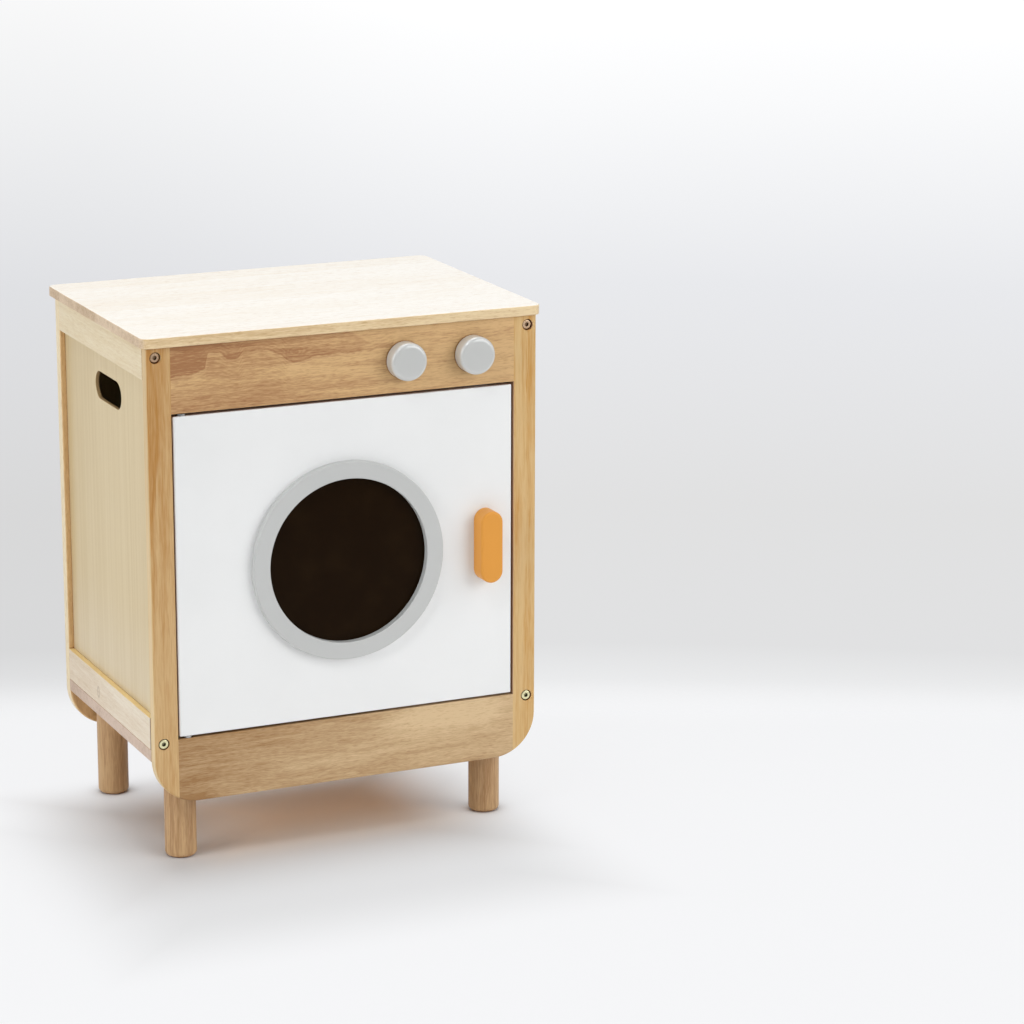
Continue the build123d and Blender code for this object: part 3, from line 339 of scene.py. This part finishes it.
def wood(
    name,
    grain,
    tones,
    seed,
    figure=0.3,
    pores=0.45,
    wave=1.2 * MM,
    stretch=1.0,
    extra=(),
    faces=(),
    mark=None,
):
    """Lacquered hardwood whose fibres run along one axis.

    Each extra adds to the depth of the tone, faces are (side, tones) for faces of another cut or
    faces painted paler or darker for the light or shade on them, mark is where a dark stain or
    painted shade shows, and seams, corners and holes get painted shade.
    """
    s = Shader(name)
    straight = s.turned(s.place(), (SEED_STEP * seed, 0, 0), GRAIN_TURN[grain])
    sway = s.node("TexNoise", {"Vector": s.scaled(straight, (11, 26, 26)), "Scale": 1.0}).outputs["Color"]
    sway = s.scaled(s.vector("SUBTRACT", sway, (0.5, 0.5, 0.5)), (0, 4 * wave, 4 * wave))
    at = s.vector("ADD", straight, sway)

    drift = s.noise(at, (3.0, 22, 22), detail=3.0)
    bands = s.noise(at, (9 / stretch, 160, 160))
    streaks = s.noise(at, (26 / stretch, 480, 480), detail=3.0, roughness=0.6)
    strokes = s.noise(at, (120 / stretch, 1000, 1000), roughness=0.6)
    vessels = s.noise(at, (120 / stretch, 1500, 1500), detail=1.0)
    dashes = s.ramp(vessels, 0.56, 0.70)

    depth = s.total(
        s.ramp(drift, 0.30, 0.72, 0.06, 0.40),
        s.ramp(bands, 0.32, 0.68, -0.5 * figure, 0.6 * figure),
        s.ramp(streaks, 0.30, 0.70, -0.5 * figure, 0.6 * figure),
        s.ramp(strokes, 0.32, 0.68, -0.6 * figure, 0.6 * figure),
        *(add(s, at) for add in extra),
    )
    colour = s.mixed(depth, *tones)
    for side, other_tones in faces:
        colour = s.mixed(s.facing(side), colour, s.mixed(depth, *other_tones))
    darkened = s.mixed(1.0, colour, PORE_BROWN, "MULTIPLY")
    colour = s.mixed(s.product(dashes, pores), colour, darkened)
    if mark:
        colour = s.mixed(mark(s), colour, STAIN_AND_JOINT_SHADE)
    # painted shade in the wood's seams, corners and holes, where ambient occlusion is low
    seams = s.ramp(s.openness(SEAM_SHADE_REACH), 0.45, 0.80, 1.0, 0.0)
    colour = s.mixed(seams, colour, SEAM_SHADE_BROWN, "MULTIPLY")

    height = s.maths("SUBTRACT", s.product(streaks, 0.35), s.product(dashes, 0.65))
    s.bump(height, 0.10 * MM, 0.2)
    s.set(Base_Color=colour, Roughness=s.ramp(streaks, 0.2, 0.8, 0.38, 0.52), Specular_IOR_Level=0.35)
    return s.material


def plywood(name, seed, face):
    """Pale birch-like ply with a faint upright grain, and brown edges round its two faces."""
    s = Shader(name)
    at = s.turned(s.place(), (SEED_STEP * seed, 0, 0), GRAIN_TURN["Z"])
    drift = s.noise(at, (1.6, 9, 9), detail=3.0)
    lines = s.noise(at, (2.2, 190, 190), detail=4.0, roughness=0.65)
    flecks = s.noise(at, (60, 700, 700), detail=1.0)
    depth = s.total(s.ramp(drift, 0.3, 0.75, 0.0, 0.5), s.ramp(lines, 0.3, 0.7, -0.1, 0.4))
    foot = s.ramp_mm(s.along(s.place(), "Z"), 160, 260, 0.6, 0.0)
    colour = s.mixed(foot, s.mixed(depth, *PLY), s.mixed(depth, *PLY_FOOT))
    colour = s.mixed(s.facing(face), PLY_EDGE, colour)
    colour = s.mixed(s.ramp(flecks, 0.62, 0.75, 0.0, 0.15), colour, PLY_FLECK)
    s.bump(lines, 0.06 * MM, 0.3)
    s.set(Base_Color=colour, Roughness=s.ramp(lines, 0.2, 0.8, 0.34, 0.46))
    return s.material


def tone_along(axis, start, end, at_start, at_end):
    """Depth that changes along an axis between two places in mm."""

    def extra(s, at):
        return s.ramp_mm(s.along(s.place(), axis), start, end, at_start, at_end)

    return extra


def planks(axis, width, contrast):
    """Depth that steps from one glued plank to the next."""

    def extra(s, at):
        number = s.maths("FLOOR", s.maths("DIVIDE", s.along(s.place(), axis), width))
        tone = s.node("TexWhiteNoise", {"W": number}, noise_dimensions="1D").outputs["Value"]
        return s.ramp(tone, 0.0, 1.0, -contrast, contrast)

    return extra


def growth_lines(s, distance, pitch):
    """Wave from -1 to 1 that repeats at a pitch."""
    return s.maths("SINE", s.product(distance, 2 * math.pi / pitch))


def stripes(period, contrast):
    """Growth lines of a board that was sawn on the quarter."""

    def extra(s, at):
        wander = s.noise(at, (4, 60, 60))
        turns = s.total(s.maths("DIVIDE", s.along(at, "Y"), period), s.product(wander, 1.6))
        return s.product(growth_lines(s, turns, 1.0), contrast)

    return extra


def ripple(s, vector, scale, width):
    """Random sway of a line within a width."""
    return s.product(s.maths("SUBTRACT", s.noise(vector, scale, detail=3.0), 0.5), width)


def heartwood(s, at):
    """Dark heart along the top of the control panel, with growth lines that follow its edge and a knot."""
    place = s.place()
    x, z = s.along(place, "X"), s.along(place, "Z")
    sway = ripple(s, place, (80, 1, 140), 7 * MM)
    above = s.total(s.maths("SUBTRACT", z, s.curve(x, HEART_LOWER, PANEL_SPAN, PANEL_HEIGHTS)), sway)
    below = s.maths("SUBTRACT", s.curve(x, HEART_UPPER, PANEL_SPAN, PANEL_HEIGHTS), z)
    inside = s.product(s.ramp_mm(above, -1.5, 1.5), s.ramp_mm(below, -1, 2))
    left = s.ramp_mm(x, 40, 54, 1.0, 0.0)
    strength = s.product(s.ramp_mm(x, -160, -110, 0.36, 0.24), left)
    heart = s.product(inside, strength)

    off = s.maths("ABSOLUTE", above)
    rim = s.product(s.ramp_mm(off, 0.2, 1.8, 0.26, 0.0), left)
    halo = s.product(s.ramp_mm(above, -18, -1, 0.0, -0.20), s.ramp_mm(above, -1, 2, 1.0, 0.0))
    lines = s.product(growth_lines(s, above, HEART_LINES), s.ramp_mm(off, 2, 34, 0.09, 0.03))
    side = s.ramp_mm(x, -170, 150, 0.26, -0.10)
    foot = s.product(s.ramp_mm(z, 452, 478, 0.16, 0.0), s.ramp_mm(x, -40, 60, 1.0, 0.3))
    return s.total(heart, rim, halo, lines, knot(s, place, sway), side, foot)


def knot(s, place, sway):
    """Growth lines round the knot of the control panel."""
    distance = s.length(s.scaled(s.vector("SUBTRACT", place, KNOT_PLACE), KNOT_SHAPE))
    whorl = growth_lines(s, s.total(distance, sway), KNOT_LINES)
    return s.product(whorl, s.ramp_mm(distance, 2, 10, 0.12, 0.0))


def rail_patches(s, at):
    """Bottom rail: darker lower left corner and a pale streak in the upper right half."""
    place = s.place()
    x = s.along(place, "X")
    z = s.total(s.along(place, "Z"), ripple(s, at, (14, 60, 60), 26 * MM))
    corner = s.product(s.ramp_mm(z, 76, 94, 0.40, 0.0), s.ramp_mm(x, -165, -120, 1.0, 0.0))
    streak = s.product(s.ramp_mm(z, 96, 112), s.ramp_mm(x, 10, 70), s.ramp_mm(x, 140, 175, -0.34, 0.0))
    return s.total(corner, streak)


def rail_mark(s):
    """Painted shade of an open joint at the front end of a side's bottom rail, and a small oval fleck in the
    left one.
    """
    # painted shade of the open joint
    joint = s.ramp_mm(s.along(s.place(), "Y"), *JOINT_SHADE_Y, 0.9, 0.0)
    distance = s.length(s.scaled(s.vector("SUBTRACT", s.place(), FLECK_PLACE), FLECK_SHAPE))
    off = s.maths("ABSOLUTE", s.maths("SUBTRACT", distance, FLECK_RADIUS))
    ring = s.ramp_mm(off, 0.2, 1.1, 0.36, 0.0)
    core = s.ramp_mm(distance, 0.0, 1.4, 0.30, 0.0)
    return s.maths("MAXIMUM", joint, s.maths("MAXIMUM", ring, core))


def flame(s, at):
    """Darker streak that runs down the left stile and swings out once."""
    place = s.place()
    x, z = s.along(place, "X"), s.along(place, "Z")
    from_bend = s.maths("ABSOLUTE", s.maths("SUBTRACT", z, FLAME_BEND_Z))
    centre = s.total(s.ramp_mm(from_bend, 0, 110, 7.5 * MM, 0.0), FLAME_X)
    off = s.maths("ABSOLUTE", s.maths("SUBTRACT", x, centre))
    edge = s.ramp_mm(off, 0.4, 2.6, 0.42, 0.0)
    body = s.ramp_mm(s.maths("SUBTRACT", centre, x), -1, 1, 0.0, 0.22)
    return s.product(s.total(edge, body), s.ramp_mm(z, 300, 380))


# ---------------------------------------------------------------------------
# Paint, pane, metal and felt
# ---------------------------------------------------------------------------


def paint(name, colour, wear, roughness=0.36, gloss=0.5, coat=0.0, gaps=None):
    """Satin paint with a faint orange peel and rubbed, slightly darker patches, and a colour painted as shade
    in its narrow gaps.
    """
    s = Shader(name)
    cloud = s.noise(s.place(), 9, detail=4.0)
    peel = s.noise(s.place(), 900)
    darker = tuple((1 - wear) * v for v in colour)
    painted = s.mixed(s.ramp(cloud, 0.35, 0.75), colour, darker)
    if gaps:
        # painted shade in narrow gaps, where ambient occlusion is low
        painted = s.mixed(s.ramp(s.openness(6 * MM), 0.20, 0.46), gaps, painted)
    s.bump(peel, 0.02 * MM, 0.3)
    s.set(
        Base_Color=painted,
        Roughness=s.ramp(cloud, 0.3, 0.7, roughness, roughness + 0.03),
        Specular_IOR_Level=gloss,
        Coat_Weight=coat,
        Coat_Roughness=0.14,
        Coat_IOR=1.7,
    )
    return s.material


def smoked_acrylic(name, tones):
    """Dark translucent pane with a trace of fine scratches."""
    s = Shader(name)
    dust = s.noise(s.place(), 30, detail=5.0)
    s.set(
        Base_Color=s.mixed(s.ramp(dust, 0.4, 0.8), *tones),
        Roughness=s.ramp(dust, 0.4, 0.8, 0.06, 0.16),
        Transmission_Weight=0.15,
        Specular_IOR_Level=0.10,
        IOR=1.2,
    )
    return s.material


def metal(name, tones, roughness, recess=0.10):
    """Plated steel with a patchy dulled film, and painted shade in its sockets and recesses that keeps a
    share of its colour.
    """
    s = Shader(name)
    film = s.noise(s.place(), 420, detail=4.0, roughness=0.65)
    # painted shade for sockets and recesses
    recess_shade = tuple(recess * v for v in tones[1])
    face = s.mixed(s.ramp(film, 0.4, 0.7), *tones)
    s.bump(film, 0.03 * MM, 0.3)
    s.set(
        Base_Color=s.mixed(s.ramp(s.openness(4 * MM), 0.25, 0.85), recess_shade, face),
        Metallic=1.0,
        Roughness=s.ramp(film, 0.3, 0.7, roughness, roughness + 0.15),
    )
    return s.material


def felt(name, tones):
    """Pressed grey wool felt."""
    s = Shader(name)
    fuzz = s.noise(s.place(), 1500, detail=3.0)
    s.bump(fuzz, 0.2 * MM, 0.8)
    s.set(Base_Color=s.mixed(fuzz, *tones), Roughness=0.95, Sheen_Weight=0.4)
    return s.material


# ---------------------------------------------------------------------------
# Pieces
# ---------------------------------------------------------------------------


def dress(material, *names):
    """Gives CAD nodes a material."""
    for name in names:
        for slot in cad_nodes[name].material_slots:
            slot.material = material


def dress_worktop():
    """Glued planks, with an upper face painted paler for the strong light from above."""
    made = wood(
        "worktop_wood",
        "X",
        GOLDEN,
        1.0,
        extra=(planks("Y", 57 * MM, 0.22), tone_along("X", -200, 200, 0.24, -0.10)),
        # upper face painted paler for the light from above; the ends are end grain
        faces=(("+Z", WORKTOP_LIT_FACE), ("X", WORKTOP_END)),
    )
    dress(made, "worktop")


def dress_front_frame():
    """Control panel, two stiles and bottom rail, each with the figure of its own board."""
    dress(wood("control_panel_wood", "X", PANEL, 2.0, extra=(heartwood,)), "control_panel")
    left_stile = wood(
        "left_stile_wood",
        "Z",
        LEFT_STILE,
        3.0,
        figure=0.29,
        pores=0.2,
        stretch=2.6,
        extra=(flame, stripes(6.4 * MM, 0.12), tone_along("Z", 200, 320, 0.06, 0.26)),
        # flanks painted paler for the light from the left
        faces=(("X", STILE_LIT_FLANK),),
    )
    dress(left_stile, "front_left_stile")
    right_stile = wood(
        "right_stile_wood",
        "Z",
        RIGHT_STILE,
        4.0,
        figure=0.38,
        pores=0.2,
        stretch=2.6,
        extra=(
            stripes(4.6 * MM, 0.30),
            tone_along("X", 178, 196, -0.12, 0.20),
            tone_along("Z", 200, 400, 0.06, 0.25),
        ),
        # outer flank painted paler for the light from the left, inner flank painted darker as shade in the
        # door's gap
        faces=(("X", STILE_LIT_FLANK), ("-X", GAP_SHADE_FLANK)),
    )
    dress(right_stile, "front_right_stile")
    bottom_rail = wood(
        "bottom_rail_wood",
        "X",
        FRONT_RAIL,
        5.0,
        figure=0.19,
        wave=2.6 * MM,
        extra=(tone_along("X", -200, 100, 0.50, 0.13), rail_patches),
    )
    dress(bottom_rail, "front_bottom_rail")


def dress_rear_frame():
    """Plainer boards, and the back panel in them."""
    # flanks of the rear stiles painted paler for the light from the left
    stiles = wood("rear_stile_wood", "Z", REAR_STILE, 6.0, faces=(("X", REAR_LIT_FLANK),))
    dress(stiles, "rear_left_stile", "rear_right_stile")
    rails = wood("rear_rail_wood", "X", REAR_RAIL, 7.0, wave=2.0 * MM)
    dress(rails, "rear_bottom_rail", "rear_top_rail")
    dress(plywood("back_panel_ply", 18.0, "Y"), "back_panel")


def dress_sides():
    """Pale rails and the recessed panels."""
    top_rails = wood("side_top_rail_wood", "Y", SIDE_TOP_RAIL, 8.0, pores=0.2)
    dress(top_rails, "left_side_top_rail", "right_side_top_rail")
    bottom_rails = wood(
        "side_bottom_rail_wood",
        "Y",
        SIDE_BOTTOM_RAIL,
        9.0,
        figure=0.2,
        pores=0.2,
        extra=(tone_along("Y", -110, 130, -0.10, 0.34),),
        mark=rail_mark,
        # ledge painted paler and yellower for the light on it
        faces=(("+Z", SIDE_LIT_LEDGE),),
    )
    dress(bottom_rails, "left_side_bottom_rail", "right_side_bottom_rail")
    dress(plywood("side_panel_ply", 10.0, "X"), "left_side_panel", "right_side_panel")


def dress_base():
    """Base board, legs and the small wooden pieces."""
    board = wood(
        "base_board_wood",
        "X",
        BASE_EDGE,
        11.0,
        pores=0.2,
        extra=(tone_along("Y", -60, 130, -0.10, 0.25),),
        faces=(("Z", BASE_FACE),),
    )
    dress(board, "base_board")
    for number, corner in enumerate(("front_left", "front_right", "rear_left", "rear_right")):
        grown = stripes(5.0 * MM, 0.12)
        leg = wood(f"{corner}_leg_wood", "Z", LEG, 12.0 + number, figure=0.36, stretch=2.0, extra=(grown,))
        dress(leg, f"{corner}_leg")
    dowels = wood("dowel_wood", "X", GOLDEN, 17.0)
    dress(dowels, "worktop_dowels", "front_frame_dowels", "rear_frame_dowels", "door_stop_block")


def dress_fittings():
    """Paint, pane, metal and felt."""
    dress(paint("white_paint", DOOR_WHITE, 0.03, gaps=GAP_SHADE_BROWN), "door_panel")
    dress(paint("ring_paint", SOFT_GREY, 0.03), "window_ring")
    dress(paint("knob_paint", KNOB_GREY, 0.02, coat=1.0), "left_knob", "right_knob")
    dress(paint("orange_paint", ORANGE, 0.08, roughness=0.42, gloss=0.3), "door_handle")
    dress(smoked_acrylic("smoked_acrylic", SMOKE), "window_pane")
    # upper front and rear joint bolts: the zinc bolts darkened as painted shade
    dress(metal("bronzed_steel", BOLT_SHADE_BRONZE, 0.28, recess=0.6), "upper_front_joint_bolts", "rear_joint_bolts")
    dress(
        metal("yellow_zinc", YELLOW_ZINC, 0.28, recess=0.2),
        "lower_front_joint_bolts",
        "barrel_nuts",
        "leg_tee_nuts",
        "base_board_screws",
        "stop_block_screws",
        "window_ring_screws",
        "door_handle_screws",
        "back_panel_screws",
    )
    dress(
        metal("zinc_steel", ZINC, 0.25),
        "hinge_pins",
        "lower_hinge_washer",
        "upper_hinge_washer",
        "leg_hanger_bolts",
        "left_knob_screw",
        "right_knob_screw",
        "knob_back_washers",
        "catch_magnet",
        "strike_disc",
    )
    dress(felt("grey_felt", WOOL), "knob_felt_washers")


# ---------------------------------------------------------------------------
# Stage, light and camera
# ---------------------------------------------------------------------------


def zone(s, middle, start, end):
    """Rises from 0 to 1 round the cabinet's outline, as if it stood at another middle."""
    low, high = cad_box
    away = s.vector("ABSOLUTE", s.vector("SUBTRACT", s.place(), (*middle, 0)))
    clear_x = s.maths("SUBTRACT", s.along(away, "X"), (high[0] - low[0]) / 2)
    clear_y = s.maths("SUBTRACT", s.along(away, "Y"), (high[1] - low[1]) / 2)
    return s.ramp(s.maths("MAXIMUM", clear_x, clear_y), start, end)


def make_floor():
    """Round pale floor that fades out into the background, for the camera sooner behind the object."""
    bpy.ops.mesh.primitive_circle_add(vertices=FLOOR_CORNERS, radius=FLOOR_RADIUS, fill_type="NGON")
    floor = bpy.context.object
    floor.name = "studio_floor"
    s = Shader("studio_floor")
    seen, mirrored = s.rays()
    shown = s.maths("MAXIMUM", seen, mirrored)
    # painted warm shade under the cabinet, for the camera
    seen_colour = s.mixed(zone(s, *WARM_SHADE_ZONE), FLOOR_SHADE, FLOOR_GREY)
    s.set(Base_Color=s.mixed(shown, FLOOR_WHITE, seen_colour), Roughness=0.6, Specular_IOR_Level=0.2)

    # glow greyer close to the cabinet's front: painted shade
    glow_colour = s.mixed(zone(s, *GLOW_SHADE_ZONE), FLOOR_GLOW, NEAR_WHITE)
    glow = s.node("Emission", {"Color": glow_colour, "Strength": 1.0}).outputs[0]
    # the glow is held back where ambient occlusion is low: painted contact shadow at the legs' feet
    contact = s.ramp(s.openness(CONTACT_SHADE_REACH), 0.35, 0.95, 0.0, FLOOR_LIFT)
    # painted light: the glow lightens the floor's shadow outside the cabinet's outline
    lift = s.product(contact, zone(s, *LIFT_ZONE), shown)
    lit = s.blended(lift, s.surface.outputs[0], glow)

    sight = (math.sin(CAMERA_YAW), math.cos(CAMERA_YAW), 0)
    behind = s.node("VectorMath", {0: s.place(), 1: sight}, operation="DOT_PRODUCT").outputs["Value"]
    hidden = s.product(s.ramp(behind, *FLOOR_BEHIND), seen)
    share = s.maths("MAXIMUM", s.ramp(s.length(s.place()), *FLOOR_REACH), hidden)
    faded = s.blended(share, lit, s.node("BsdfTransparent").outputs[0])
    s.feed(s.tree.nodes["Material Output"].inputs[0], faded)
    floor.data.materials.append(s.material)


def shade(s, value, stops, strength):
    """Background whose colour follows a value through its stops."""
    low, high = stops[0][0], stops[-1][0]
    scaled = s.node("MapRange", {"Value": value, "From Min": low, "From Max": high}).outputs[0]
    ramp = s.node("ValToRGB", {0: scaled})
    elements = ramp.color_ramp.elements
    for number, (level, colour) in enumerate(stops):
        spot = (level - low) / (high - low)
        if number == 0:
            element = elements[0]
        elif number == len(stops) - 1:
            element = elements[-1]
        else:
            element = elements.new(spot)
        element.position = spot
        element.color = (*colour, 1)
    return s.node("Background", {"Color": ramp.outputs[0], "Strength": strength}).outputs[0]


def make_world():
    """Even light, a backdrop for the camera, and for reflections a bright room that is dark in front."""
    world = bpy.data.worlds.new("studio")
    bpy.context.scene.world = world
    world.use_nodes = True
    s = Nodes(world.node_tree)
    light = s.tree.nodes["Background"]
    s.feed(light.inputs["Color"], (1.0, 1.0, 1.0))
    s.feed(light.inputs["Strength"], SKY_LIGHT)

    direction = s.node("TexCoord").outputs["Generated"]
    strength = s.ramp(s.along(direction, "X"), *BACKDROP_RIGHT)
    backdrop = shade(s, s.along(direction, "Z"), BACKDROP, strength)
    room = shade(s, s.along(direction, "Y"), ROOM, 1.0)
    seen, mirrored = s.rays()
    around = s.blended(mirrored, light.outputs[0], room)
    s.feed(s.tree.nodes["World Output"].inputs[0], s.blended(seen, around, backdrop))


def make_lamp(name, place, size, power):
    """Square soft box aimed at the cabinet."""
    lamp = bpy.data.lights.new(name, "AREA")
    lamp.size = size
    lamp.energy = power
    holder = bpy.data.objects.new(name, lamp)
    holder.location = place
    aim = Vector(LAMP_AIM) - Vector(place)
    holder.rotation_euler = aim.to_track_quat("-Z", "Y").to_euler()
    bpy.context.scene.collection.objects.link(holder)


def make_camera():
    """Camera at the photograph's place."""
    forward = Vector(
        (
            math.sin(CAMERA_YAW) * math.cos(CAMERA_PITCH),
            math.cos(CAMERA_YAW) * math.cos(CAMERA_PITCH),
            math.sin(CAMERA_PITCH),
        )
    )
    level_right = Vector((math.cos(CAMERA_YAW), -math.sin(CAMERA_YAW), 0))
    level_up = level_right.cross(forward)
    right = math.cos(CAMERA_ROLL) * level_right + math.sin(CAMERA_ROLL) * level_up
    up = math.cos(CAMERA_ROLL) * level_up - math.sin(CAMERA_ROLL) * level_right
    data = bpy.data.cameras.new("photo_camera")
    data.lens = CAMERA_LENS
    data.sensor_width = CAMERA_SENSOR
    camera = bpy.data.objects.new("photo_camera", data)
    turn = Matrix((right, up, -forward)).transposed().to_4x4()
    camera.matrix_world = Matrix.Translation(CAMERA_PLACE) @ turn
    bpy.context.scene.collection.objects.link(camera)
    bpy.context.scene.camera = camera


dress_worktop()
dress_front_frame()
dress_rear_frame()
dress_sides()
dress_base()
dress_fittings()
make_floor()
make_world()
for lamp_name, lamp_settings in LAMPS.items():
    make_lamp(lamp_name, *lamp_settings)
make_camera()
bpy.context.scene.view_settings.view_transform = "Standard"
